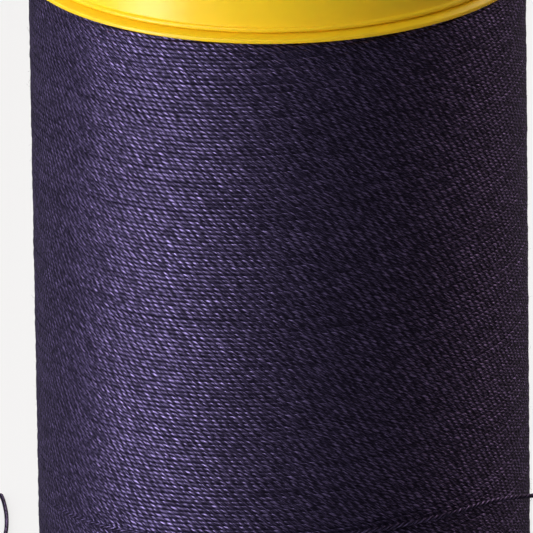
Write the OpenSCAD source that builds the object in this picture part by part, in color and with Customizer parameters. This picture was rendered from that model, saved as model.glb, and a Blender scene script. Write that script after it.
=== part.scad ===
// Spool of sewing thread: a barrel with a flange pressed into each end, a snap cap
// that slides on each flange to trap the thread end, a paper label in each cap,
// the wound thread, and the loose thread end.
// The spool stands on its bottom cap. The axis is Z and the origin is the centre of
// the face that it stands on. All sizes are in millimetres.

/* [Thread] */
// Outside diameter of the wound thread
pack_d = 32; // [28:0.5:36]
// Height of the wound thread, from flange to flange
pack_h = 48; // [46:1:60]
// Thickness of the thread
thread_d = 0.3; // [0.2:0.05:0.4]
// Wraps in the outer layer
wrap_count = 24; // [16:1:24]
// Width of one wrap of the outer layer
wrap_d = 1.4; // [1:0.1:1.4]

/* [Barrel] */
// Outside diameter of the barrel
barrel_d = 14; // [13:0.5:18]
// Wall of the barrel
barrel_wall = 1; // [0.8:0.1:1.2]

/* [Flange] */
// How far the lip of the flange stands out past the thread
lip_overhang = 0.6; // [0.2:0.1:1.5]
// Height of the lip's upright edge
lip_h = 0.25; // [0.2:0.05:0.4]
// Thickness of the rim under the cap's skirt
rim_t = 0.55; // [0.5:0.05:0.8]
// Thickness of the disc inside the cap
disc_t = 1.2; // [1:0.1:1.5]
// Depth of the spigot in the barrel
spigot_l = 6; // [4:0.5:12]
// Wall of the spigot
spigot_wall = 1.2; // [0.8:0.1:1.5]
// Diameter of the bore for the spool pin
pin_bore_d = 7.5; // [6:0.5:7.5]
// Wall of the neck round the bore
neck_wall = 1.45; // [1.2:0.05:1.6]
// How far the snap bead stands out from the neck
bead_proud = 0.3; // [0.2:0.05:0.4]
// Height of the snap bead
bead_h = 0.6; // [0.4:0.1:0.8]

/* [Snap cap] */
// How far the end face of the cap lies past the end of the thread
end_h = 5; // [4.8:0.1:7]
// Travel of the cap from closed to open
cap_travel = 1.5; // [1:0.1:1.5]
// Wall of the skirt
skirt_wall = 1.2; // [0.9:0.1:1.5]
// How far the rounded edge of the skirt stands out
edge_proud = 0.2; // [0.1:0.05:0.3]
// Height of the rounded edge of the skirt
edge_h = 0.3; // [0.2:0.05:0.5]
// Thickness of the end plate
plate_t = 1; // [0.8:0.1:1.2]
// Wall of the inner sleeve
sleeve_wall = 1.2; // [0.8:0.1:1.5]
// Height of the snap lip inside the sleeve
sleeve_lip_h = 0.3; // [0.2:0.05:0.3]
// Rounding of the outer edge of the end face
corner_r = 0.6; // [0.3:0.1:1]
// Number of ribs inside the cap
rib_count = 8; // [4:1:12]
// Thickness of a rib
rib_t = 0.8; // [0.6:0.1:1.2]
// Height of a rib
rib_h = 1.4; // [0.8:0.1:1.6]

/* [Label] */
// Width of the bare ring between the label and the edge of the cap
label_border = 2.9; // [2:0.1:5]
// Thickness of the label
label_t = 0.12; // [0.1:0.02:0.16]
// Depth of the recess that holds the label
recess_depth = 0.2; // [0.2:0.05:0.4]

/* [Fits] */
// Clearance on the radius where a cap slides on a flange
slide_gap = 0.05; // [0.03:0.01:0.1]
// Clearance on the radius of the spigot in the barrel, and of the thread on the barrel
seat_gap = 0.03; // [0.02:0.01:0.05]
// Gap between a closed cap and the faces that it closes on
closed_gap = 0.05; // [0.03:0.01:0.1]

/* [Hidden] */

$fn = 60;

cap_colour = [0.86, 0.72, 0.16];
flange_colour = [0.86, 0.72, 0.16];
barrel_colour = [0.9, 0.88, 0.8];
label_colour = [0.95, 0.94, 0.9];
thread_colour = [0.14, 0.12, 0.22];

pack_r = pack_d / 2;
barrel_r = barrel_d / 2;
barrel_in_r = barrel_r - barrel_wall;
spigot_r = barrel_in_r - seat_gap;
bore_r = pin_bore_d / 2;
neck_r = bore_r + neck_wall;
lip_r = pack_r + lip_overhang;
cap_r = pack_r;
skirt_in_r = cap_r - skirt_wall;
disc_r = skirt_in_r - 2 * slide_gap;

// Heights of the end pieces count outwards from the end of the thread
plate_in = end_h - recess_depth - plate_t;
neck_top = plate_in - 2 * closed_gap;
bead_low = neck_top - bead_h;
sleeve_low = disc_t + closed_gap;
skirt_low = rim_t + closed_gap;
sleeve_in_r = neck_r + slide_gap;
groove_r = neck_r + bead_proud + slide_gap;
sleeve_r = groove_r + sleeve_wall;
plate_hole_r = bore_r + 2 * bead_proud;
recess_r = cap_r - label_border;
label_gap = 0.2;
label_in_r = plate_hole_r + 2 * label_gap;
label_r = recess_r - label_gap;
lip_chamfer = 0.1;
lead_in = 0.4;
bead_slope = 0.15;

thread_low = end_h;
thread_top = end_h + pack_h;

// The wraps of the outer layer are one six-sided tube. Its rings lie on the pack's
// radius, so the core under it stops short of the middle of each chord.
wrap_sides = 6;
rings_a_wrap = 24;
wrap_step = 360 / rings_a_wrap;
wrap_r = wrap_d / 2;
wrap_way_r = pack_r - wrap_r;
wrap_clear = 0.05;
wrap_half_h = wrap_r * cos(180 / wrap_sides);
wrap_low = thread_low + wrap_half_h + wrap_clear;
wrap_pitch = (pack_h - 2 * wrap_half_h - 2 * wrap_clear) / wrap_count;
wrap_start = 90;
core_r = (pack_r - wrap_d) * cos(wrap_step / 2) - wrap_clear;

// At each end the tube turns inwards and runs straight into a pocket in the core
dive_r = 0.8 * wrap_d;
dive_steps = 4;
pocket_r = wrap_r + wrap_clear;

// Way of the loose thread end, over the wraps and off the pack, down to the surface
// that the spool stands on, round behind it and out to the left
tail_way = [
    [11.5, -11.5, 19.3], [12.5, -10.4, 19.2], [13.9, -8.7, 18.9], [15.2, -7, 18.4],
    [16.4, -5.4, 17.8], [18, -3.2, 16.5], [19.6, -1, 14.7], [21.2, 1.1, 12.3],
    [22.6, 3, 9.6], [23.9, 4.8, 6.7], [25, 6.4, 3.9], [26, 8, 1.6], [27.2, 10, 0.4],
    [28.2, 12.2, 0.15], [28.5, 15, 0.15], [27.7, 18, 0.15], [25.5, 21, 0.15],
    [22, 23.4, 0.15], [18, 24.8, 0.15], [13, 25.6, 0.15], [8, 25.7, 0.15],
    [3, 25.3, 0.15], [-2, 24.6, 0.15], [-7, 23.7, 0.15], [-12, 23, 0.15],
    [-16, 23.4, 0.15], [-18.7, 25.4, 0.15], [-19.5, 28.4, 0.15], [-19.1, 31.6, 0.15],
    [-18.8, 35, 0.15], [-18.8, 38, 0.15], [-19, 40.5, 0.15], [-19.2, 41.8, 0.15]
];
tail_sides = 8;
rings_a_span = 2;

function unit(v) = v / norm(v);
function last(list) = list[len(list) - 1];

// A round corner of a profile, from angle a to angle b about a centre
function corner(x, y, r, a, b, steps = 2) =
    [for (i = [0:steps]) let (t = a + (b - a) * i / steps) [x + r * cos(t), y + r * sin(t)]];

// Direction of travel at point i of a way
function along(way, i) =
    unit(way[min(i + 1, len(way) - 1)] - way[max(i - 1, 0)]);

// One ring of a tube, square to its direction of travel. Corner 0 points sideways.
function ring(centre, ahead, r, sides) =
    let (side = unit(cross(ahead, [0, 0, 1])), lift = cross(side, ahead))
    [for (i = [0:sides - 1])
        centre + r * (cos(360 * i / sides) * side + sin(360 * i / sides) * lift)];

// A closed tube along a way, from one ring at each of its points
module tube(way, r, sides) {
    n = len(way);
    points = [for (i = [0:n - 1]) each ring(way[i], along(way, i), r, sides)];
    skin = [for (i = [0:n - 2], k = [0:sides - 1])
        let (a = i * sides + k, b = i * sides + (k + 1) % sides)
        each [[a, b, b + sides], [a, b + sides, a + sides]]];
    first_end = [for (k = [1:sides - 2]) [0, k + 1, k]];
    last_first = (n - 1) * sides;
    last_end = [for (k = [1:sides - 2]) [last_first, last_first + k, last_first + k + 1]];
    polyhedron(points, concat(skin, first_end, last_end), convexity = 10);
}

// Point of a smooth curve through p1 and p2, a share t of the way between them
function between(p0, p1, p2, p3, t) =
    0.5 * (2 * p1 + (p2 - p0) * t + (2 * p0 - 5 * p1 + 4 * p2 - p3) * t * t
           + (3 * p1 - 3 * p2 + p3 - p0) * t * t * t);

// A way with more points on the smooth curve through the points given, never lower
// than the floor height given
function smooth_way(way, steps, floor_z) =
    let (n = len(way))
    [for (i = [0:n - 2], s = [0:steps - 1])
        let (p = between(way[max(i - 1, 0)], way[i], way[i + 1], way[min(i + 2, n - 1)],
                         s / steps))
        [p[0], p[1], max(p[2], floor_z)], last(way)];

// Radial and travelling directions of the wraps at an angle round the axis
function outwards(a) = [cos(a), sin(a), 0];
function ahead_at(a) = unit([-sin(a), cos(a), wrap_pitch / (2 * PI * wrap_way_r)]);
function wrap_point(i) =
    let (a = wrap_start + i * wrap_step)
    [wrap_way_r * cos(a), wrap_way_r * sin(a), wrap_low + wrap_pitch * i / rings_a_wrap];

// Turn of the tube from the direction given towards the axis, then its straight run
function dive(from, ahead, out) =
    [for (k = [1:dive_steps])
        let (t = 90 * k / dive_steps)
        from + dive_r * (sin(t) * ahead - (1 - cos(t)) * out),
     from + dive_r * (ahead - out) - wrap_d * out];

wrap_rings = wrap_count * rings_a_wrap;
start_out = outwards(wrap_start);
end_out = outwards(wrap_start + wrap_rings * wrap_step);
start_dive = dive(wrap_point(0), -ahead_at(wrap_start), start_out);
end_dive = dive(wrap_point(wrap_rings), ahead_at(wrap_start), end_out);
wrap_way = [
    for (i = [len(start_dive) - 1:-1:0]) start_dive[i],
    for (i = [0:wrap_rings]) wrap_point(i),
    for (p = end_dive) p
];

// Least distance between wraps, from each point to those about one wrap further on
half_wrap = rings_a_wrap / 2;
wrap_gap = min([for (i = [0:len(wrap_way) - 1], k = [half_wrap:1:3 * half_wrap])
    if (i + k < len(wrap_way)) norm(wrap_way[i + k] - wrap_way[i])]) - wrap_d;
echo(str("Least gap between the wraps: ", wrap_gap, " mm"));

// A pocket in the core for one end of the tube
module wrap_pocket(dive_way, out) {
    translate(last(dive_way))
        rotate([0, 90, atan2(out[1], out[0])])
            cylinder(r = pocket_r, h = 2 * wrap_d);
}

// Places an end piece, drawn outwards from the end of the thread, at the top
module at_top() {
    translate([0, 0, thread_top])
        children();
}

// Places an end piece at the bottom, the other way up
module at_bottom() {
    translate([0, 0, thread_low])
        mirror([0, 0, 1])
            children();
}

module barrel() {
    color(barrel_colour)
        translate([0, 0, thread_low])
            difference() {
                cylinder(r = barrel_r, h = pack_h);
                translate([0, 0, -1])
                    cylinder(r = barrel_in_r, h = pack_h + 2);
            }
}

module flange() {
    color(flange_colour)
        rotate_extrude()
            polygon([
                [spigot_r - spigot_wall, -spigot_l], [spigot_r - lead_in, -spigot_l],
                [spigot_r, lead_in - spigot_l], [spigot_r, 0],
                [lip_r - lip_chamfer, 0], [lip_r, lip_chamfer], [lip_r, lip_h],
                [cap_r, rim_t], [disc_r, rim_t], [disc_r, disc_t], [neck_r, disc_t],
                [neck_r, bead_low], [neck_r + bead_proud, bead_low + bead_slope],
                [neck_r + bead_proud, neck_top - 2 * bead_slope], [neck_r, neck_top],
                [bore_r, neck_top], [bore_r, 0], [spigot_r - spigot_wall, 0]
            ]);
}

module cap_shell() {
    rotate_extrude()
        polygon(concat(
            [[skirt_in_r, skirt_low]],
            corner(cap_r + edge_proud - edge_h / 2, skirt_low + edge_h / 2, edge_h / 2, -90, 60),
            [[cap_r, skirt_low + edge_h]],
            corner(cap_r - corner_r, end_h - corner_r, corner_r, 0, 90),
            [[recess_r, end_h], [recess_r, end_h - recess_depth],
             [plate_hole_r, end_h - recess_depth], [plate_hole_r, plate_in],
             [groove_r, plate_in], [groove_r, sleeve_low + sleeve_lip_h],
             [sleeve_in_r, sleeve_low + sleeve_lip_h], [sleeve_in_r, sleeve_low],
             [sleeve_r, sleeve_low], [sleeve_r, plate_in], [skirt_in_r, plate_in]]
        ));
}

module snap_cap() {
    rib_bite = 0.3;
    rib_l = skirt_in_r - sleeve_r + 2 * rib_bite;
    color(cap_colour)
        union() {
            cap_shell();
            for (i = [0:rib_count - 1])
                rotate([0, 0, 360 * i / rib_count])
                    translate([sleeve_r - rib_bite, -rib_t / 2, plate_in - rib_h])
                        cube([rib_l, rib_t, rib_h + rib_bite]);
        }
}

module label() {
    color(label_colour)
        translate([0, 0, end_h - recess_depth])
            difference() {
                cylinder(r = label_r, h = label_t);
                translate([0, 0, -1])
                    cylinder(r = label_in_r, h = label_t + 2);
            }
}

module top_flange() {
    at_top() flange();
}

module bottom_flange() {
    at_bottom() flange();
}

module top_snap_cap() {
    at_top() snap_cap();
}

module bottom_snap_cap() {
    at_bottom() snap_cap();
}

module top_label() {
    at_top() label();
}

module bottom_label() {
    at_bottom() label();
}

module inner_thread_layers() {
    color(thread_colour)
        difference() {
            translate([0, 0, thread_low])
                cylinder(r = core_r, h = pack_h);
            translate([0, 0, thread_low - 1])
                cylinder(r = barrel_r + seat_gap, h = pack_h + 2);
            wrap_pocket(start_dive, start_out);
            wrap_pocket(end_dive, end_out);
        }
}

module outer_thread_layer() {
    color(thread_colour)
        tube(wrap_way, wrap_r, wrap_sides);
}

module thread_tail() {
    color(thread_colour)
        tube(smooth_way(tail_way, rings_a_span, thread_d / 2), thread_d / 2, tail_sides);
}

barrel();
top_flange();
bottom_flange();
top_snap_cap();
bottom_snap_cap();
top_label();
bottom_label();
inner_thread_layers();
outer_thread_layer();
thread_tail();
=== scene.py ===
"""A spool of sewing thread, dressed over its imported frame.

A pack of dark cross-wound thread on a moulded barrel, a lipped flange in each end, a snap cap with
a paper label over each flange, and the thread's loose end. Lengths are in metres; names that end in
_mm are in millimetres. Heights in an outline run outwards from the plane where the thread ends.
"""

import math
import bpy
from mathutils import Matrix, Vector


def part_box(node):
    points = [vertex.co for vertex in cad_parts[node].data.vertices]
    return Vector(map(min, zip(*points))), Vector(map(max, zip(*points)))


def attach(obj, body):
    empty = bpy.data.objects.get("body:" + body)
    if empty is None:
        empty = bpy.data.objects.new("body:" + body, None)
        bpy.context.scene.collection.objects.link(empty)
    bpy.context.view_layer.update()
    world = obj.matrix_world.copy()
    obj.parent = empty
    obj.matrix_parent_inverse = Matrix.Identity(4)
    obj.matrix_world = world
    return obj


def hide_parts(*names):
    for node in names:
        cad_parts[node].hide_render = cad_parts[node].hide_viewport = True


bl_info = {
    "name": "Spool of Thread",
    "version": (1, 0, 0),
    "blender": (4, 5, 0),
    "location": "View3D > Sidebar > Spool",
    "description": "Builds the thread, caps, labels and loose end of a sewing thread spool",
    "category": "Add Mesh",
}

import bpy
import numpy as np
from bpy.props import FloatProperty, FloatVectorProperty, IntProperty, PointerProperty
from mathutils import Matrix, Vector

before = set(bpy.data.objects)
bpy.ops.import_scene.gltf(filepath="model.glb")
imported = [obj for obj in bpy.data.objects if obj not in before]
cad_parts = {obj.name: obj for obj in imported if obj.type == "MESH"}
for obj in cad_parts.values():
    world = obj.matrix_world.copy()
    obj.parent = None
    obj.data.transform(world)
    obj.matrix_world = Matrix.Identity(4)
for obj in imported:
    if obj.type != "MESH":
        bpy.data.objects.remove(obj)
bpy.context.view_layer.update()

MM = 0.001
TURN = 2 * math.pi

# The planes where the thread ends, and the widest radius of the flanges, as the frame has them.
THREAD_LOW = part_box("barrel")[0].z
THREAD_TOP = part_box("barrel")[1].z
BARREL_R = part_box("barrel")[1].x
LIP_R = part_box("top_flange")[1].x

# Flange and cap sizes, in millimetres.
CAP_R_MM = 16.0
BORE_R_MM = 3.75
NECK_R_MM = 5.2
END_H_MM = 5.0
PLATE_H_MM = 3.8
SKIRT_IN_R_MM = 14.8
SLEEVE_R_MM = 6.75
RECESS_R_MM = 13.1
RECESS_DEPTH_MM = 0.2

# The loose end's route, in metres: down from the pack, round behind the spool and away.
TAIL_WAY = [
    (0.0115, -0.0115, 0.0193), (0.0125, -0.0104, 0.0192), (0.0139, -0.0087, 0.0189),
    (0.0152, -0.007, 0.0184), (0.0164, -0.0054, 0.0178), (0.018, -0.0032, 0.0165),
    (0.0196, -0.001, 0.0147), (0.0212, 0.0011, 0.0123), (0.0226, 0.003, 0.0096),
    (0.0239, 0.0048, 0.0067), (0.025, 0.0064, 0.0039), (0.026, 0.008, 0.0016),
    (0.0272, 0.01, 0.0004), (0.0282, 0.0122, 0.00015), (0.0285, 0.015, 0.00015),
    (0.0277, 0.018, 0.00015), (0.0255, 0.021, 0.00015), (0.022, 0.0234, 0.00015),
    (0.018, 0.0248, 0.00015), (0.013, 0.0256, 0.00015), (0.008, 0.0257, 0.00015),
    (0.003, 0.0253, 0.00015), (-0.002, 0.0246, 0.00015), (-0.007, 0.0237, 0.00015),
    (-0.012, 0.023, 0.00015), (-0.016, 0.0234, 0.00015), (-0.0187, 0.0254, 0.00015),
    (-0.0195, 0.0284, 0.00015), (-0.0191, 0.0316, 0.00015), (-0.0188, 0.035, 0.00015),
    (-0.0188, 0.038, 0.00015), (-0.019, 0.0405, 0.00015), (-0.0192, 0.0418, 0.00015),
]

# Strands that lie pressed together are flatter across the pack, and wider along it.
PRESSED = (0.8, 1.36)
# How far each layer lies under the one above, as a share of the thread's thickness.
LAYER_STEP = 0.55


# ---------------------------------------------------------------- settings

class ThreadSettings(bpy.types.PropertyGroup):
    """The thread, its pack and its loose end"""

    diameter: FloatProperty(
        name="Thickness", description="Diameter of the thread", default=0.3 * MM,
        min=0.2 * MM, max=0.5 * MM, subtype="DISTANCE", unit="LENGTH", precision=5)
    pack_radius: FloatProperty(
        name="Pack radius", description="Radius over the outermost strands", default=16 * MM,
        subtype="DISTANCE", unit="LENGTH", precision=5)
    starts: IntProperty(
        name="Strands a layer", description="Strands that wind side by side in one layer",
        default=17, min=8, max=24)
    turns: IntProperty(
        name="Turns", description="Turns that each strand makes from end to end",
        default=10, min=6, max=14)
    ply_turn: FloatProperty(
        name="Ply turn", description="Length over which the three plies twist once round",
        default=1.5 * MM, subtype="DISTANCE", unit="LENGTH", precision=5)
    unevenness: FloatProperty(
        name="Unevenness", description="How far strands wander from an even winding",
        default=0.03 * MM, subtype="DISTANCE", unit="LENGTH", precision=6)
    lint: IntProperty(
        name="Lint", description="Fine fibres that stand off the pack", default=900, min=0)
    seed: IntProperty(
        name="Seed", description="Start of the random draws", default=7)
    colour: FloatVectorProperty(
        name="Colour", description="Dyed colour of the thread", default=(0.009, 0.0068, 0.016),
        size=3, min=0, max=1, subtype="COLOR")
    lustre: FloatVectorProperty(
        name="Lustre", description="Colour that the fibres' gloss takes",
        default=(0.6, 0.46, 1.0), size=3, min=0, max=1, subtype="COLOR")


class MouldingSettings(bpy.types.PropertyGroup):
    """The moulded flanges, caps and barrel"""

    colour: FloatVectorProperty(
        name="Cap colour", description="Golden plastic of the caps and flanges",
        default=(0.95, 0.6, 0.013), size=3, min=0, max=1, subtype="COLOR")
    barrel_colour: FloatVectorProperty(
        name="Barrel colour", description="Undyed plastic of the barrel",
        default=(0.78, 0.74, 0.6), size=3, min=0, max=1, subtype="COLOR")
    segments: IntProperty(
        name="Segments", description="Flats round each turned piece", default=224, min=48)
    ribs: IntProperty(
        name="Ribs", description="Ribs under each cap's plate", default=8, min=3, max=16)


class LabelSettings(bpy.types.PropertyGroup):
    """The paper labels in the caps"""

    paper: FloatVectorProperty(
        name="Paper", description="Colour of the label's paper", default=(0.86, 0.84, 0.77),
        size=3, min=0, max=1, subtype="COLOR")
    ink: FloatVectorProperty(
        name="Ink", description="Colour of the printed rings", default=(0.05, 0.04, 0.11),
        size=3, min=0, max=1, subtype="COLOR")
    inner_radius: FloatProperty(
        name="Hole", description="Radius of the label's hole", default=4.75 * MM,
        subtype="DISTANCE", unit="LENGTH", precision=5)
    outer_radius: FloatProperty(
        name="Radius", description="Outer radius of the label", default=12.9 * MM,
        subtype="DISTANCE", unit="LENGTH", precision=5)


class StageSettings(bpy.types.PropertyGroup):
    """Camera, floor and lamps"""

    azimuth: FloatProperty(
        name="Azimuth", description="Camera's angle round the spool", default=0, subtype="ANGLE")
    elevation: FloatProperty(
        name="Elevation", description="Camera's angle above the floor",
        default=math.radians(20.3), subtype="ANGLE")
    roll: FloatProperty(
        name="Roll", description="Camera's turn about its own axis",
        default=math.radians(-0.802), subtype="ANGLE")
    distance: FloatProperty(
        name="Distance", description="From the camera to what it looks at", default=1.0,
        subtype="DISTANCE", unit="LENGTH")
    field: FloatProperty(
        name="Field", description="Width of the view at the spool's axis", default=34.49 * MM,
        subtype="DISTANCE", unit="LENGTH", precision=5)
    aim: FloatVectorProperty(
        name="Aim", description="Point at the middle of the view",
        default=(-0.94 * MM, 0, 31.9 * MM), size=3, subtype="TRANSLATION", unit="LENGTH",
        precision=5)


# ---------------------------------------------------------------- modelling helpers

def deselect():
    """Leaves object mode with nothing selected."""
    if bpy.context.object and bpy.context.object.mode != "OBJECT":
        bpy.ops.object.mode_set(mode="OBJECT")
    bpy.ops.object.select_all(action="DESELECT")


def take(piece):
    """Makes one object the selected and active one."""
    deselect()
    piece.select_set(True)
    bpy.context.view_layer.objects.active = piece


def named(piece, name):
    piece.name = piece.data.name = name
    return piece


def settle(piece):
    """Moves the object's place and turn into its mesh."""
    take(piece)
    bpy.ops.object.transform_apply(location=True, rotation=True, scale=True)
    return piece


def closed(piece, merge=0.002 * MM):
    """Merges doubles, fills what is open and turns every face outwards."""
    take(piece)
    bpy.ops.object.mode_set(mode="EDIT")
    bpy.ops.mesh.select_all(action="SELECT")
    bpy.ops.mesh.remove_doubles(threshold=merge)
    bpy.ops.mesh.fill_holes(sides=0)
    bpy.ops.mesh.select_all(action="SELECT")
    bpy.ops.mesh.normals_make_consistent(inside=False)
    bpy.ops.object.mode_set(mode="OBJECT")
    return piece


def smoothed(piece, degrees=38):
    take(piece)
    bpy.ops.object.shade_smooth_by_angle(angle=math.radians(degrees))
    return piece


def applied(piece, kind, **settings):
    """Adds one modifier and applies it."""
    take(piece)
    modifier = piece.modifiers.new(kind.title(), kind)
    for key, value in settings.items():
        setattr(modifier, key, value)
    bpy.ops.object.modifier_apply(modifier=modifier.name)
    return piece


def joined(pieces, name):
    """One object of several."""
    take(pieces[0])
    for piece in pieces[1:]:
        piece.select_set(True)
    bpy.ops.object.join()
    return named(bpy.context.object, name)


def copied(piece, matrix):
    """A copy with its own mesh, moved by a matrix. A mirrored copy has its faces turned back."""
    copy = piece.copy()
    copy.data = piece.data.copy()
    bpy.context.collection.objects.link(copy)
    copy.data.transform(matrix)
    if matrix.determinant() < 0:
        copy.data.flip_normals()
    return copy


def corners(piece):
    """The mesh's points as an array."""
    points = np.empty(len(piece.data.vertices) * 3)
    piece.data.vertices.foreach_get("co", points)
    return points.reshape(-1, 3)


def place_corners(piece, points):
    piece.data.vertices.foreach_set("co", points.ravel())
    piece.data.update()


def rounded(outline_mm, steps=5):
    """A closed outline in metres from (radius, height, fillet) corners in millimetres."""
    points = []
    count = len(outline_mm)
    for i, (radius, height, fillet) in enumerate(outline_mm):
        here = Vector((radius, height))
        if fillet == 0:
            points.append(here)
            continue
        back = (Vector(outline_mm[i - 1][:2]) - here).normalized()
        on = (Vector(outline_mm[(i + 1) % count][:2]) - here).normalized()
        half = back.angle(on) / 2
        centre = here + (back + on).normalized() * fillet / math.sin(half)
        first = here + back * fillet / math.tan(half) - centre
        sweep = math.copysign(math.pi - 2 * half, first.cross(on))
        for k in range(steps + 1):
            points.append(centre + Matrix.Rotation(sweep * k / steps, 2) @ first)
    return [(x * MM, y * MM) for x, y in points]


def turned(name, outline, segments):
    """A ring turned about Z: a circle extruded and scaled from point to point of a closed outline."""
    deselect()
    radius, height = outline[0]
    bpy.ops.mesh.primitive_circle_add(vertices=segments, radius=radius)
    piece = named(bpy.context.object, name)
    bpy.ops.object.mode_set(mode="EDIT")
    bpy.ops.mesh.select_all(action="SELECT")
    bpy.ops.transform.translate(value=(0, 0, height))
    for next_radius, next_height in outline[1:] + outline[:1]:
        bpy.ops.mesh.extrude_region_move(
            TRANSFORM_OT_translate={"value": (0, 0, next_height - height)})
        scale = next_radius / radius
        bpy.ops.transform.resize(value=(scale, scale, 1), center_override=(0, 0, 0))
        radius, height = next_radius, next_height
    return closed(piece)


def at_ends(piece):
    """The piece, whose heights run outwards from the thread, at the top end and at the bottom end."""
    bottom = copied(piece, Matrix.Translation((0, 0, THREAD_LOW)) @ Matrix.Diagonal((1, 1, -1, 1)))
    piece.data.transform(Matrix.Translation((0, 0, THREAD_TOP)))
    return piece, bottom


def finish_piece(piece, body, slot, material, *nodes):
    """Gives a piece its material and its body, and hides the frame nodes that it stands for; the slot
    is not used.
    """
    piece.data.materials.clear()
    piece.data.materials.append(material)
    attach(piece, body)
    if nodes:
        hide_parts(*nodes)
    return piece


# ---------------------------------------------------------------- shader helpers

class Value:
    """A shader socket that takes part in Python expressions; each operation adds its Math node."""

    def __init__(self, paint, socket):
        self.paint = paint
        self.socket = socket

    def math(self, operation, *values):
        return self.paint.node("ShaderNodeMath", {"operation": operation}, dict(enumerate(values)))

    def __add__(self, other):
        return self.math("ADD", self, other)

    __radd__ = __add__

    def __sub__(self, other):
        return self.math("SUBTRACT", self, other)

    def __rsub__(self, other):
        return self.math("SUBTRACT", other, self)

    def __mul__(self, other):
        return self.math("MULTIPLY", self, other)

    __rmul__ = __mul__

    def __gt__(self, other):
        return self.math("GREATER_THAN", self, other)

    def __lt__(self, other):
        return self.math("LESS_THAN", self, other)

    def __pow__(self, other):
        return self.math("POWER", self, other)

    def __abs__(self):
        return self.math("ABSOLUTE", self)

    def sine(self):
        return self.math("SINE", self)

    def cosine(self):
        return self.math("COSINE", self)


class Paint:
    """A material being mixed: its Principled shader and one method that adds any other node."""

    def __init__(self, name, **constants):
        self.material = bpy.data.materials.new(name)
        self.material.use_nodes = True
        self.tree = self.material.node_tree
        self.shader = self.tree.nodes["Principled BSDF"]
        for socket, value in constants.items():
            self.shader.inputs[socket.replace("_", " ")].default_value = value

    def feed(self, socket, value):
        if isinstance(value, Value):
            self.tree.links.new(value.socket, socket)
        else:
            socket.default_value = value

    def node(self, kind, settings, sockets, output=0):
        """Adds a node, makes its settings, feeds its sockets and returns one of its outputs."""
        node = self.tree.nodes.new(kind)
        stops = settings.pop("stops", [])
        for key, value in settings.items():
            setattr(node, key, value)
        for i, (place, colour) in enumerate(stops):
            element = node.color_ramp.elements[i] if i < 2 else node.color_ramp.elements.new(place)
            element.position = place
            element.color = (*colour, 1)
        for key, value in sockets.items():
            self.feed(node.inputs[key], value)
        return Value(self, node.outputs[output])

    def place(self):
        """Object coordinates."""
        return self.node("ShaderNodeTexCoord", {}, {}, "Object")

    def apart(self, vector):
        """The three numbers of a vector."""
        first = self.node("ShaderNodeSeparateXYZ", {}, {0: vector})
        return [Value(self, out) for out in first.socket.node.outputs]

    def together(self, x, y, z):
        return self.node("ShaderNodeCombineXYZ", {}, {0: x, 1: y, 2: z})

    def noise(self, vector, scale, detail=2, roughness=0.5):
        return self.node("ShaderNodeTexNoise", {},
                         {"Vector": vector, "Scale": scale, "Detail": detail,
                          "Roughness": roughness}, "Fac")

    def mix(self, factor, first, second):
        """A blend of two colours."""
        first = (*first, 1) if isinstance(first, tuple) else first
        second = (*second, 1) if isinstance(second, tuple) else second
        return self.node("ShaderNodeMix", {"data_type": "RGBA"},
                         {0: factor, 6: first, 7: second}, 2)

    def finish(self, colour=None, roughness=None, height=None, depth=1.0):
        """Feeds what varies over the surface; depth is what a height of 1 stands for, in metres."""
        if colour is not None:
            self.feed(self.shader.inputs["Base Color"], colour)
        if roughness is not None:
            self.feed(self.shader.inputs["Roughness"], roughness)
        if height is not None:
            bump = self.node("ShaderNodeBump", {}, {"Height": height, "Distance": depth})
            self.feed(self.shader.inputs["Normal"], bump)
        return self.material


def shade(colour, factor):
    return tuple(channel * factor for channel in colour)


# ---------------------------------------------------------------- materials

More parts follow.
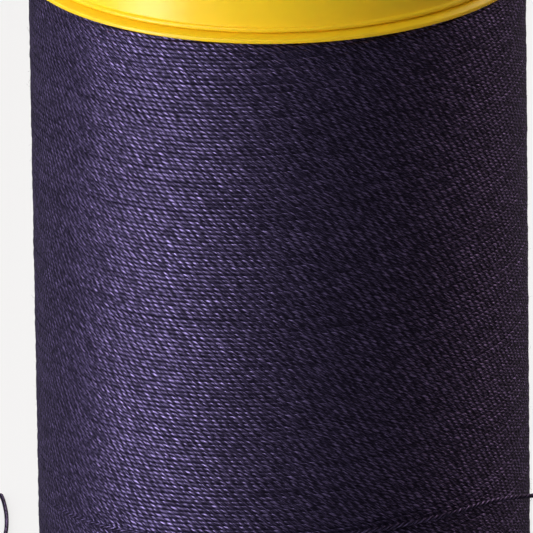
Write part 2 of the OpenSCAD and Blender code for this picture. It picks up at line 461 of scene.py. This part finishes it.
def thread_material(name, settings):
    """Three-ply spun thread: twisted plies, fibres along them, a tinted gloss on the crests, and
    painted shade between the plies and painted glints in its colour.
    """
    paint = Paint(name, Specular_IOR_Level=0.05, IOR=1.3, Sheen_Weight=0.02,
                  Sheen_Roughness=0.4, Sheen_Tint=(0.62, 0.55, 1.0, 1))
    along = paint.node("ShaderNodeAttribute", {"attribute_name": "along_mm"}, {}, "Fac")
    around = paint.node("ShaderNodeAttribute", {"attribute_name": "around"}, {}, "Vector")
    cosine, sine, strand = paint.apart(around)
    angle = paint.node("ShaderNodeMath", {"operation": "ARCTAN2"}, {0: sine, 1: cosine})
    lay = angle + along * (TURN / (settings.ply_turn / MM))
    crest = abs((lay * 1.5).sine())
    fibre_place = paint.together(lay.cosine() * 1.5, lay.sine() * 1.5, along * 1.1 + strand * 37)
    fibre = paint.noise(fibre_place, 1.5, 3, 0.6)
    glint = paint.node("ShaderNodeMapRange", {"interpolation_type": "SMOOTHSTEP"},
                       {0: fibre, 1: 0.44, 2: 0.66, 3: 0.0, 4: 1.0})
    streak = paint.noise(paint.together(along * 0.09, strand * 53, 0.0), 1.0, 3, 0.6)
    lump = paint.noise(paint.together(along * 0.7, strand * 91, 0.0), 1.0, 2, 0.6)
    grain = paint.noise(paint.place(), 9000, 2, 0.7)

    # Painted shade and painted glints: the base colour is darker in the grooves between the plies and
    # lighter on the crests and where the fibres glint; the lump and streak noise is random tone from
    # strand to strand and along each strand.
    tone = crest * 0.3 + glint * 0.5 + (lump + streak - 1) * 0.7
    colour = paint.mix(tone, shade(settings.colour, 0.4), shade(settings.colour, 1.9))
    roughness = 0.52 - crest * 0.12 + (fibre - 0.5) * 0.3 + (grain - 0.5) * 0.25
    height = crest * 0.04 + fibre * 0.045 + grain * 0.004

    material = paint.finish(colour, roughness, height, MM)
    lustre = paint.node("ShaderNodeBsdfAnisotropic", {"distribution": "GGX"},
                        {"Color": (*settings.lustre, 1), "Roughness": 0.34})
    bump = paint.shader.inputs["Normal"].links[0].from_socket
    paint.tree.links.new(bump, lustre.socket.node.inputs["Normal"])
    share = (crest ** 1.5 * (glint * 2.4 + 0.1) * (streak * 0.8 + 0.6) + 0.05) * 0.18
    blend = paint.node("ShaderNodeMixShader", {},
                       {0: share, 1: Value(paint, paint.shader.outputs[0]), 2: lustre})
    output = paint.tree.nodes["Material Output"]
    paint.tree.links.new(blend.socket, output.inputs["Surface"])
    return material


def shaded_core_material(settings):
    """The packed thread under the wound layers, in painted shade: darker than the thread, and darkest
    in painted furrows between the strands.
    """
    paint = Paint("packed_thread", Specular_IOR_Level=0.05, Sheen_Weight=0.04)
    height = paint.apart(paint.place())[2]
    furrow = abs((height * (math.pi / (settings.diameter * 0.93))).sine())
    speck = paint.noise(paint.place(), 2500, 3, 0.6)
    # Painted shade: the colour runs from 0.15 to 0.7 of the thread's colour, darkest in the furrows
    # between the packed strands.
    colour = paint.mix(furrow * 0.6 + speck * 0.4, shade(settings.colour, 0.15),
                       shade(settings.colour, 0.7))
    return paint.finish(colour, 0.75 + speck * 0.2, furrow * 0.12 + speck * 0.03, MM)


def moulded_material(name, colour, gloss=0.34):
    """Injection-moulded plastic: even colour, a faint flow, satin skin and fine handling marks."""
    paint = Paint(name, Specular_IOR_Level=0.5, Specular_Tint=(1.0, 0.95, 0.8, 1),
                  Subsurface_Weight=0.6, Subsurface_Radius=(1.0, 0.45, 0.1),
                  Subsurface_Scale=1.6 * MM)
    paint.shader.subsurface_method = "BURLEY"
    flow = paint.noise(paint.place(), 55, 2, 0.5)
    x, y, z = paint.apart(paint.place())
    tall = paint.together(x * 900, y * 900, z * 160)
    draw = paint.noise(tall, 1.0, 3, 0.6)
    pit = paint.noise(paint.place(), 5200, 2, 0.6)
    dust = paint.noise(paint.place(), 1300, 3, 0.55)
    tone = flow * 0.6 + dust * 0.4
    mixed = paint.mix(tone, shade(colour, 0.93), shade(colour, 1.05))
    roughness = gloss + (draw - 0.5) * 0.1 + (dust - 0.5) * 0.12
    height = draw * 0.0035 + pit * 0.0022 + flow * 0.02
    return paint.finish(mixed, roughness, height, MM)


def label_material(name, settings):
    """Uncoated paper with two printed rings and a ring of running stitches between them."""
    paint = Paint(name, Specular_IOR_Level=0.25)
    x, y, z = paint.apart(paint.place())
    radius = (x * x + y * y) ** 0.5
    angle = paint.node("ShaderNodeMath", {"operation": "ARCTAN2"}, {0: y, 1: x})

    def ring(middle_mm, width_mm):
        return abs(radius - middle_mm * MM) < width_mm * MM / 2

    stitch = ring(9.1, 0.34) * (((angle * 36).sine()) > -0.25)
    ink = ring(12.05, 0.5) + ring(11.4, 0.14) + ring(5.75, 0.5) + ring(6.4, 0.14) + stitch
    fibre = paint.noise(paint.place(), 1500, 4, 0.65)
    cloud = paint.noise(paint.place(), 180, 2, 0.5)
    sheet = paint.mix(fibre * 0.5 + cloud * 0.5, shade(settings.paper, 0.9), tuple(settings.paper))
    worn = ink * (0.86 + fibre * 0.2)
    colour = paint.mix(worn, sheet, tuple(settings.ink))
    return paint.finish(colour, 0.68 + fibre * 0.2 - worn * 0.2, fibre * 0.008, MM)


# ---------------------------------------------------------------- strands

def between(a, b, c, d, t):
    """The Catmull-Rom curve from b to c."""
    return 0.5 * (2 * b + (c - a) * t + (2 * a - 5 * b + 4 * c - d) * t * t
                  + (3 * b - 3 * c + d - a) * t ** 3)


def smooth_way(way, steps, floor_z):
    """A smooth route through the way's points, no lower than floor_z."""
    points = [np.array(p, float) for p in way]
    last = len(points) - 1
    route = []
    for i in range(last):
        around = (points[max(i - 1, 0)], points[i], points[i + 1], points[min(i + 2, last)])
        route += [between(*around, s / steps) for s in range(steps)]
    route = np.array(route + [points[last]])
    route[:, 2] = np.maximum(route[:, 2], floor_z)
    return route


def distances(route):
    """How far along the route each of its points lies."""
    steps = np.linalg.norm(np.diff(route, axis=0), axis=1)
    return np.concatenate([[0], np.cumsum(steps)])


def mark_strand(piece, along_mm, angle, strand):
    """Stores where each point lies along its strand and around it, which the thread's finish reads."""
    count = len(piece.data.vertices)
    attribute = piece.data.attributes.new("along_mm", "FLOAT", "POINT")
    attribute.data.foreach_set("value", np.broadcast_to(along_mm, count).astype(np.float32))
    around = np.stack([np.cos(angle), np.sin(angle), np.full(count, strand)], axis=1)
    attribute = piece.data.attributes.new("around", "FLOAT_VECTOR", "POINT")
    attribute.data.foreach_set("vector", around.astype(np.float32).ravel())


def plied_strand(name, route, settings, sides=12, strand=0.5):
    """A strand of three plies along a route: a three-lobed outline swept with a steady twist."""
    lobes = bpy.data.curves.new(name + "_section", "CURVE")
    lobes.dimensions = "2D"
    ring = lobes.splines.new("POLY")
    ring.points.add(sides - 1)
    ring.use_cyclic_u = True
    for i, point in enumerate(ring.points):
        angle = TURN * i / sides
        radius = settings.diameter / 2 * (0.8 + 0.2 * abs(math.cos(1.5 * angle)))
        point.co = (radius * math.cos(angle), radius * math.sin(angle), 0, 1)
    section = bpy.data.objects.new(lobes.name, lobes)
    bpy.context.collection.objects.link(section)

    line = bpy.data.curves.new(name, "CURVE")
    line.dimensions = "3D"
    line.twist_mode = "MINIMUM"
    line.bevel_mode = "OBJECT"
    line.bevel_object = section
    line.use_fill_caps = True
    spline = line.splines.new("POLY")
    spline.points.add(len(route) - 1)
    along = distances(route)
    for point, place, far in zip(spline.points, route, along):
        point.co = (*place, 1)
        point.tilt = -TURN * far / settings.ply_turn
    piece = bpy.data.objects.new(name, line)
    bpy.context.collection.objects.link(piece)
    take(piece)
    bpy.ops.object.convert(target="MESH")
    piece = named(bpy.context.object, name)
    bpy.data.objects.remove(section)
    closed(piece, merge=0.0001 * MM)

    points = corners(piece)
    nearest = np.array([np.argmin(((route - p) ** 2).sum(1)) for p in points])
    far_mm = along[nearest] / MM
    order = np.arange(len(points)) % sides
    mark_strand(piece, far_mm, TURN * order / sides - TURN * far_mm * MM / settings.ply_turn, strand)
    return smoothed(piece, 60)


def wander(rng, angle, slowest=0.23):
    """A smooth random line over the angle, between about -1 and 1."""
    rates = slowest * 2.1 ** np.arange(6)
    phases = rng.uniform(0, TURN, 6)
    weights = 0.62 ** np.arange(6)
    waves = [w * np.sin(r * angle + p) for w, r, p in zip(weights, rates, phases)]
    return sum(waves) / weights.sum() * 1.6


def wound_layer(name, settings, radius, hand, seed, sides=6, steps=96):
    """One layer of the pack: strands side by side, each screwed from one flange to the other."""
    rng = np.random.default_rng(seed)
    half = settings.diameter / 2
    low = THREAD_LOW + half * PRESSED[1]
    rise = THREAD_TOP - THREAD_LOW - settings.diameter * PRESSED[1]
    lead = rise / settings.turns
    deselect()
    start = (radius, 0, low if hand > 0 else low + rise)
    bpy.ops.mesh.primitive_circle_add(
        vertices=sides, radius=half, location=start, rotation=(math.pi / 2, 0, 0))
    strand = settle(named(bpy.context.object, name))
    applied(strand, "SCREW", axis="Z", angle=TURN, iterations=settings.turns,
            screw_offset=hand * lead, steps=steps, render_steps=steps)
    closed(strand, merge=0.00001 * MM)
    even = corners(strand)
    rings = settings.turns * steps + 1
    ring = np.arange(len(even)) // sides
    swept = TURN * ring / steps
    middle = np.stack([radius * np.cos(swept), radius * np.sin(swept)], 1)
    level = start[2] + hand * lead * swept / TURN
    section = np.stack([np.hypot(even[:, 0], even[:, 1]) - radius, even[:, 2] - level], 1)
    angle = np.arctan2(section[:, 1], section[:, 0])
    section *= PRESSED
    along_mm = swept * radius / MM
    # Near each flange the strand dips under its neighbours, where it turned back.
    from_end = np.minimum(ring, rings - 1 - ring) * TURN / steps
    dip = half * np.clip(1 - from_end / 0.5, 0, 1) ** 2
    shared = np.random.default_rng(seed + 1)
    band_phase = shared.uniform(0, TURN, 3)

    strands = []
    for k in range(settings.starts):
        copy = copied(strand, Matrix.Identity(4))
        spin = TURN * k / settings.starts
        aside = settings.unevenness * wander(rng, swept)
        out = settings.unevenness * 0.8 * wander(rng, swept, 0.9) - dip
        crowd = settings.unevenness * 0.6 * np.sin(
            level * 900 + 2 * np.sin(swept + spin + band_phase[0]) + band_phase[1])
        away = radius + out + section[:, 0]
        turn = swept + spin
        height = np.clip(level + aside + crowd, low, low + rise) + section[:, 1]
        place_corners(copy, np.stack([away * np.cos(turn), away * np.sin(turn), height], 1))
        mark_strand(copy, along_mm + 3.7 * k, angle, rng.uniform())
        strands.append(copy)
    bpy.data.objects.remove(strand)
    layer = joined(strands, name)
    take(layer)
    bpy.ops.object.shade_smooth()
    return layer


def last_wrap_way(settings):
    """The last strand's way on top of the pack, ending where the loose end leaves it."""
    leave = Vector(TAIL_WAY[0])
    sunk = settings.pack_radius - 0.6 * settings.diameter
    top = leave.xy.length
    start_angle = math.atan2(leave.y, leave.x)
    way = []
    # Angle back from the exit in degrees, share of the climb out of the pack, drop in height.
    for back, climb, drop_mm in ((150, 0, 2.5), (125, 0.1, 1.85), (100, 0.35, 1.2), (75, 0.6, 0.6),
                                 (50, 0.8, 0.15), (30, 0.92, -0.1), (15, 0.98, -0.12), (5, 1, -0.05)):
        angle = start_angle - math.radians(back)
        radius = sunk + (top - sunk) * climb
        way.append((radius * math.cos(angle), radius * math.sin(angle), leave.z - drop_mm * MM))
    return way + [tuple(leave)]


def lint_piece(name, settings):
    """Fine curved fibres that stand off the pack."""
    rng = np.random.default_rng(settings.seed + 50)
    deselect()
    bpy.ops.mesh.primitive_circle_add(vertices=3, radius=0.009 * MM, fill_type="NGON")
    hair = named(bpy.context.object, name)
    bpy.ops.object.mode_set(mode="EDIT")
    bpy.ops.mesh.select_all(action="SELECT")
    for _ in range(4):
        bpy.ops.mesh.extrude_region_move(TRANSFORM_OT_translate={"value": (0, 0, 0.25 * MM)})
    closed(hair, merge=0.0001 * MM)
    even = corners(hair)
    share = even[:, 2] / even[:, 2].max()
    hairs = []
    for _ in range(settings.lint):
        length = rng.uniform(0.2, 0.6) * MM
        azimuth, level = rng.uniform(0, TURN), rng.uniform(THREAD_LOW + MM, THREAD_TOP - MM)
        lean, bow, side = rng.uniform(-1.2, 1.2), rng.uniform(-0.9, 0.9), rng.uniform(-0.8, 0.8)
        out = length * share * (1 - 0.35 * share) * rng.uniform(0.25, 0.8)
        across = length * (lean * share + bow * share ** 2) * 0.6
        up = length * (side * share - 0.4 * bow * share ** 2) * 0.5
        radius = settings.pack_radius - 0.02 * MM + out + even[:, 0] * (1 - 0.6 * share)
        turn = azimuth + (across + even[:, 1] * (1 - 0.6 * share)) / settings.pack_radius
        copy = copied(hair, Matrix.Identity(4))
        place_corners(copy, np.stack([radius * np.cos(turn), radius * np.sin(turn), level + up], 1))
        hairs.append(copy)
    bpy.data.objects.remove(hair)
    lint = closed(joined(hairs, name), merge=0.00001 * MM)
    mark_strand(lint, 0.0, np.zeros(len(lint.data.vertices)), 0.9)
    return lint


# ---------------------------------------------------------------- operators

class SPOOL_OT_camera(bpy.types.Operator):
    """Places the camera in front of the spool, a little above it"""

    bl_idname = "spool.camera"
    bl_label = "Camera"

    def execute(self, context):
        stage = context.scene.spool_stage
        around = Matrix.Rotation(stage.azimuth, 3, "Z")
        back = around @ Vector((0, -math.cos(stage.elevation), math.sin(stage.elevation)))
        level_right = around @ Vector((1, 0, 0))
        level_up = back.cross(level_right)
        roll = Matrix.Rotation(stage.roll, 3, back)
        columns = (roll @ level_right, roll @ level_up, back)
        camera = bpy.data.cameras.new("spool_camera")
        camera.sensor_width = 36
        camera.lens = camera.sensor_width * stage.distance / stage.field
        camera.clip_start = 0.05
        camera.clip_end = 60
        holder = bpy.data.objects.new(camera.name, camera)
        context.collection.objects.link(holder)
        place = Vector(stage.aim) + back * stage.distance
        holder.matrix_world = Matrix.Translation(place) @ Matrix(columns).transposed().to_4x4()
        context.scene.camera = holder
        return {"FINISHED"}


class SPOOL_OT_tail(bpy.types.Operator):
    """Lays the thread's loose end along its route"""

    bl_idname = "spool.tail"
    bl_label = "Loose end"

    def execute(self, context):
        settings = context.scene.spool_thread
        route = smooth_way(TAIL_WAY, 40, settings.diameter / 2)
        tail = plied_strand("loose_end", route, settings)
        finish_piece(tail, "spool", "thread", get_material("spun_thread", thread_material, settings),
                     "thread_tail")
        return {"FINISHED"}


class SPOOL_OT_pack(bpy.types.Operator):
    """Winds the pack: a core, three crossing layers, the last wrap and some lint"""

    bl_idname = "spool.pack"
    bl_label = "Wound thread"

    def execute(self, context):
        settings = context.scene.spool_thread
        spun = get_material("spun_thread", thread_material, settings)
        half = settings.diameter / 2
        top_r = settings.pack_radius - half * PRESSED[0]
        under_r = top_r - settings.diameter * LAYER_STEP
        third_r = under_r - settings.diameter * LAYER_STEP
        core_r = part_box("inner_thread_layers")[1].x / MM
        inner_r = BARREL_R / MM + 0.03
        height = (THREAD_TOP - THREAD_LOW) / MM
        core = turned("packed_core", rounded([
            (inner_r, 0, 0), (core_r, 0, 0.1), (core_r, height, 0.1), (inner_r, height, 0)]), 128)
        core.data.transform(Matrix.Translation((0, 0, THREAD_LOW)))
        finish_piece(smoothed(core), "spool", "thread", shaded_core_material(settings),
                     "inner_thread_layers")
        under = wound_layer("crossing_layer", settings, under_r, -1, settings.seed + 10)
        finish_piece(under, "spool", "thread", spun)
        third = wound_layer("third_layer", settings, third_r, 1, settings.seed + 20)
        finish_piece(third, "spool", "thread", spun)
        top = wound_layer("outer_layer", settings, top_r, 1, settings.seed)
        finish_piece(top, "spool", "thread", spun, "outer_thread_layer")
        wrap = plied_strand("last_wrap", smooth_way(last_wrap_way(settings), 60, 0), settings)
        finish_piece(wrap, "spool", "thread", spun)
        lint = lint_piece("lint", settings)
        finish_piece(lint, "spool", "thread", spun)
        return {"FINISHED"}


class SPOOL_OT_flanges(bpy.types.Operator):
    """Turns the lipped flange that carries each snap cap"""

    bl_idname = "spool.flanges"
    bl_label = "Flanges"

    def execute(self, context):
        settings = context.scene.spool_moulding
        plastic = get_material("golden_plastic", moulded_material, settings.colour)
        lip = LIP_R / MM
        outline = rounded([
            (4.77, -6, 0.15), (5.57, -6, 0.1), (5.97, -5.6, 0.1), (5.97, 0, 0),
            (lip, 0, 0.11), (lip, 0.27, 0.1), (CAP_R_MM - 0.1, 0.585, 0.1), (14.7, 0.585, 0.05),
            (14.7, 1.2, 0.15), (NECK_R_MM, 1.2, 0.1), (NECK_R_MM, 3.1, 0.05),
            (NECK_R_MM + 0.3, 3.25, 0.06), (NECK_R_MM + 0.3, 3.4, 0.06), (NECK_R_MM, 3.7, 0.05),
            (BORE_R_MM, 3.7, 0.12), (BORE_R_MM, 0, 0), (4.77, 0, 0)])
        flange = smoothed(turned("top_lipped_flange", outline, settings.segments))
        top, bottom = at_ends(flange)
        named(bottom, "bottom_lipped_flange")
        finish_piece(top, "spool", "cap_plastic", plastic, "top_flange")
        finish_piece(bottom, "spool", "cap_plastic", plastic, "bottom_flange")
        return {"FINISHED"}


class SPOOL_OT_caps(bpy.types.Operator):
    """Turns the snap caps, with a beaded edge, a label recess and ribs inside"""

    bl_idname = "spool.caps"
    bl_label = "Snap caps"

    def execute(self, context):
        settings = context.scene.spool_moulding
        plastic = get_material("golden_plastic", moulded_material, settings.colour)
        edge_low, edge_top, edge_r = 0.6, 0.9, CAP_R_MM + 0.2
        floor_h = END_H_MM - RECESS_DEPTH_MM
        outline = rounded([
            (SKIRT_IN_R_MM, edge_low, 0.12), (edge_r, edge_low, 0.145), (edge_r, edge_top, 0.12),
            (CAP_R_MM, edge_top + 0.03, 0.08), (CAP_R_MM, END_H_MM, 0.6),
            (RECESS_R_MM, END_H_MM, 0.09), (RECESS_R_MM, floor_h, 0.05),
            (4.35, floor_h, 0.14), (4.35, PLATE_H_MM, 0.08), (5.55, PLATE_H_MM, 0.05),
            (5.55, 1.55, 0.05), (5.25, 1.55, 0.04), (5.25, 1.25, 0.08), (SLEEVE_R_MM, 1.25, 0.12),
            (SLEEVE_R_MM, PLATE_H_MM, 0.1), (SKIRT_IN_R_MM, PLATE_H_MM, 0.15)])
        shell = turned("top_cap_shell", outline, settings.segments)
        cap = smoothed(joined([shell, *self.ribs(settings)], "top_cap_shell"))
        top, bottom = at_ends(cap)
        named(bottom, "bottom_cap_shell")
        finish_piece(top, "top_cap", "cap_plastic", plastic, "top_snap_cap")
        finish_piece(bottom, "bottom_cap", "cap_plastic", plastic, "bottom_snap_cap")
        return {"FINISHED"}

    def ribs(self, settings):
        """The ribs between the sleeve and the skirt, under the plate."""
        thickness_mm, height_mm, bite_mm = 0.8, 1.4, 0.3
        inner, outer = SLEEVE_R_MM - bite_mm, SKIRT_IN_R_MM + bite_mm
        middle_mm = PLATE_H_MM - height_mm / 2 + bite_mm / 2
        deselect()
        bpy.ops.mesh.primitive_cube_add(
            size=MM, location=((inner + outer) / 2 * MM, 0, middle_mm * MM),
            scale=(outer - inner, thickness_mm, height_mm + bite_mm))
        rib = settle(named(bpy.context.object, "rib"))
        bpy.ops.object.mode_set(mode="EDIT")
        bpy.ops.mesh.select_all(action="SELECT")
        bpy.ops.mesh.bevel(offset=0.1 * MM, segments=3, affect="EDGES")
        bpy.ops.object.mode_set(mode="OBJECT")
        ribs = [copied(rib, Matrix.Rotation(TURN * i / settings.ribs, 4, "Z"))
                for i in range(settings.ribs)]
        bpy.data.objects.remove(rib)
        return ribs


class SPOOL_OT_labels(bpy.types.Operator):
    """Cuts the paper labels that lie in the caps' recesses"""

    bl_idname = "spool.labels"
    bl_label = "Labels"

    def execute(self, context):
        settings = context.scene.spool_label
        paper = get_material("printed_paper", label_material, settings)
        low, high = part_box("top_label")[0].z - THREAD_TOP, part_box("top_label")[1].z - THREAD_TOP
        inner, outer = settings.inner_radius / MM, settings.outer_radius / MM
        outline = rounded([
            (inner, low / MM, 0.02), (outer, low / MM, 0.02), (outer, high / MM, 0.045),
            (inner, high / MM, 0.045)], 3)
        label = smoothed(turned("top_paper_label", outline, 160))
        top, bottom = at_ends(label)
        named(bottom, "bottom_paper_label")
        finish_piece(top, "top_cap", "label_paper", paper, "top_label")
        finish_piece(bottom, "bottom_cap", "label_paper", paper, "bottom_label")
        return {"FINISHED"}


class SPOOL_OT_barrel(bpy.types.Operator):
    """Gives the barrel under the thread its finish"""

    bl_idname = "spool.barrel"
    bl_label = "Barrel"

    def execute(self, context):
        settings = context.scene.spool_moulding
        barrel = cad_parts["barrel"]
        plastic = get_material("barrel_plastic", moulded_material, settings.barrel_colour, 0.45)
        barrel.data.materials.clear()
        barrel.data.materials.append(plastic)
        return {"FINISHED"}


class SPOOL_OT_stage(bpy.types.Operator):
    """Lays the pale floor and sets the lamps and the world"""

    bl_idname = "spool.stage"
    bl_label = "Stage"

    def execute(self, context):
        self.floor()
        self.world(context.scene)
        # Name, azimuth and elevation in degrees, distance, width and height, radiance, colour.
        self.lamp("key", -57, 0.5, 0.105, (0.042, 0.058), 9.0, (0.9, 0.93, 1.0))
        self.lamp("left", -112, 20, 1, (0.8, 0.9), 1.3, (1.0, 0.98, 1.0))
        self.lamp("front", -41, 27, 1.1, (0.75, 0.9), 3.3, (1.0, 0.99, 0.98))
        self.lamp("top", 10, 58, 1.1, (1.2, 0.7), 0.7, (1.0, 0.98, 0.95))
        self.lamp("right", 122, 25, 1.2, (0.9, 1.2), 1.05, (1.0, 0.74, 0.62))
        self.lamp("back", 158, 30, 1.4, (1.4, 1.2), 1.5, (1.0, 0.86, 0.78))
        context.scene.view_settings.view_transform = "Standard"
        return {"FINISHED"}

    def floor(self):
        deselect()
        bpy.ops.mesh.primitive_grid_add(x_subdivisions=8, y_subdivisions=8, size=40)
        floor = named(bpy.context.object, "floor")
        paint = Paint("pale_floor")
        tree = paint.tree
        rays = tree.nodes.new("ShaderNodeLightPath")
        camera, glossy, sharp, through = (
            Value(paint, rays.outputs[name])
            for name in ("Is Camera Ray", "Is Glossy Ray", "Is Singular Ray", "Is Transmission Ray"))
        # What looks straight at the floor, also by a sharp reflection or through glass, sees it pale.
        seen = camera + glossy * sharp + through
        dull = paint.node("ShaderNodeBsdfDiffuse", {}, {"Color": (0.3, 0.3, 0.3, 1)})
        pale = paint.node("ShaderNodeBsdfDiffuse", {}, {"Color": (0.86, 0.86, 0.86, 1)})
        white = paint.node("ShaderNodeEmission", {}, {"Color": (1, 1, 1, 1), "Strength": 1})
        lit = paint.node("ShaderNodeMixShader", {}, {0: 0.74, 1: pale, 2: white})
        top = paint.node("ShaderNodeMixShader", {}, {0: seen, 1: dull, 2: lit})
        clear = paint.node("ShaderNodeBsdfTransparent", {}, {})
        under = paint.node("ShaderNodeNewGeometry", {}, {}, "Backfacing")
        both = paint.node("ShaderNodeMixShader", {}, {0: under, 1: top, 2: clear})
        tree.links.new(both.socket, tree.nodes["Material Output"].inputs["Surface"])
        tree.nodes.remove(paint.shader)
        floor.data.materials.append(paint.material)

    def world(self, scene):
        world = bpy.data.worlds.new("soft_room")
        world.use_nodes = True
        scene.world = world
        ground = world.node_tree.nodes["Background"]
        ground.inputs["Color"].default_value = (0.92, 0.95, 1.0, 1)
        ground.inputs["Strength"].default_value = 0.05

    def lamp(self, name, azimuth, elevation, distance, size, radiance, colour):
        """A soft box that looks at the spool's middle; azimuth is counted from the camera's side."""
        light = bpy.data.lights.new(name, "AREA")
        light.shape = "RECTANGLE"
        light.size, light.size_y = size
        light.energy = radiance * math.pi * light.size * light.size_y
        light.color = colour
        holder = bpy.data.objects.new(name, light)
        bpy.context.collection.objects.link(holder)
        a, e = math.radians(azimuth), math.radians(elevation)
        back = Vector((math.sin(a) * math.cos(e), -math.cos(a) * math.cos(e), math.sin(e)))
        middle = Vector((0, 0, (THREAD_LOW + THREAD_TOP) / 2))
        holder.matrix_world = (Matrix.Translation(middle + back * distance)
                               @ back.to_track_quat("Z", "Y").to_matrix().to_4x4())
        holder.visible_camera = False


class SPOOL_PT_panel(bpy.types.Panel):
    """Lists what builds the spool"""

    bl_idname = "SPOOL_PT_panel"
    bl_label = "Spool of Thread"
    bl_space_type = "VIEW_3D"
    bl_region_type = "UI"
    bl_category = "Spool"

    def draw(self, context):
        for operator in OPERATORS:
            self.layout.operator(operator.bl_idname)


OPERATORS = (SPOOL_OT_camera, SPOOL_OT_tail, SPOOL_OT_pack, SPOOL_OT_flanges, SPOOL_OT_caps,
             SPOOL_OT_labels, SPOOL_OT_barrel, SPOOL_OT_stage)
SETTINGS = {"spool_thread": ThreadSettings, "spool_moulding": MouldingSettings,
            "spool_label": LabelSettings, "spool_stage": StageSettings}


def get_material(name, make, *values):
    """The material of that name, made at its first use."""
    if name in bpy.data.materials:
        return bpy.data.materials[name]
    return make(name, *values)


def register():
    for kind in (*SETTINGS.values(), *OPERATORS, SPOOL_PT_panel):
        bpy.utils.register_class(kind)
    for name, kind in SETTINGS.items():
        setattr(bpy.types.Scene, name, PointerProperty(type=kind))


def unregister():
    for name in SETTINGS:
        delattr(bpy.types.Scene, name)
    for kind in (SPOOL_PT_panel, *reversed(OPERATORS), *reversed(SETTINGS.values())):
        bpy.utils.unregister_class(kind)


def main():
    register()
    for operator in OPERATORS:
        getattr(bpy.ops.spool, operator.bl_idname.split(".")[1])()


if __name__ == "__main__":
    main()
